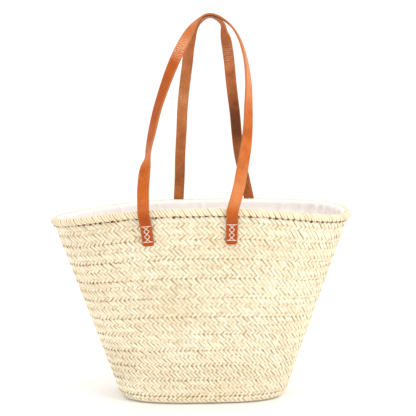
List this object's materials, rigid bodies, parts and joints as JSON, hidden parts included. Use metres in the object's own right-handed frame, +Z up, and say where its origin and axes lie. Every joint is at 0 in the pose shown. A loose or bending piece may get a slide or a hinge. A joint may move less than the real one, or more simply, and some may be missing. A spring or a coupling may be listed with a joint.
{
  "type": "woven market basket",
  "caption": "Tapered oval market basket of plaited palm leaf with a bound rim, a cotton lining and long leather shoulder handles.",
  "frame": {"origin": "on the ground under the middle of the basket", "axes": "+X along the length of the basket, -Y is the front, +Z up"},
  "size_m": [0.4698, 0.2303, 0.5969],
  "materials": {
    "palm_plait": "matt dried palm leaf, plaited",
    "palm_binding": "matt dried palm leaf, wrapped",
    "palm_rope": "matt twisted palm fibre",
    "cotton_lining": "plain woven cotton, matt",
    "strap_leather": "vegetable tanned, smooth outside and rough inside",
    "waxed_thread": "white waxed thread"
  },
  "bodies": {
    "basket": {"base_strip": "palm_plait", "base_turn": "palm_plait", "plait_turn_01": "palm_plait", "plait_turn_02": "palm_plait", "plait_turn_03": "palm_plait", "plait_turn_04": "palm_plait", "plait_turn_05": "palm_plait", "plait_turn_06": "palm_plait", "plait_turn_07": "palm_plait", "plait_turn_08": "palm_plait", "plait_turn_09": "palm_plait", "plait_turn_10": "palm_plait", "plait_turn_11": "palm_plait", "rim_rope": "palm_rope", "rim_binding": "palm_binding", "lining_bottom": "cotton_lining", "lining_wall": "cotton_lining", "front_left_sewn_end": "strap_leather", "front_left_stitching": "waxed_thread", "front_right_sewn_end": "strap_leather", "front_right_stitching": "waxed_thread", "back_left_sewn_end": "strap_leather", "back_left_stitching": "waxed_thread", "back_right_sewn_end": "strap_leather", "back_right_stitching": "waxed_thread"},
    "front_handle": {"front_handle_loop": "strap_leather"},
    "back_handle": {"back_handle_loop": "strap_leather"}
  },
  "joints": [
    {"name": "front_handle_swing", "type": "hinge", "parent": "basket", "child": "front_handle", "pos_m": [0, -0.1122, 0.284], "axis": [1, 0, 0], "range_deg": [0, 150]},
    {"name": "back_handle_swing", "type": "hinge", "parent": "basket", "child": "back_handle", "pos_m": [0, 0.1122, 0.284], "axis": [-1, 0, 0], "range_deg": [0, 150]}
  ]
}
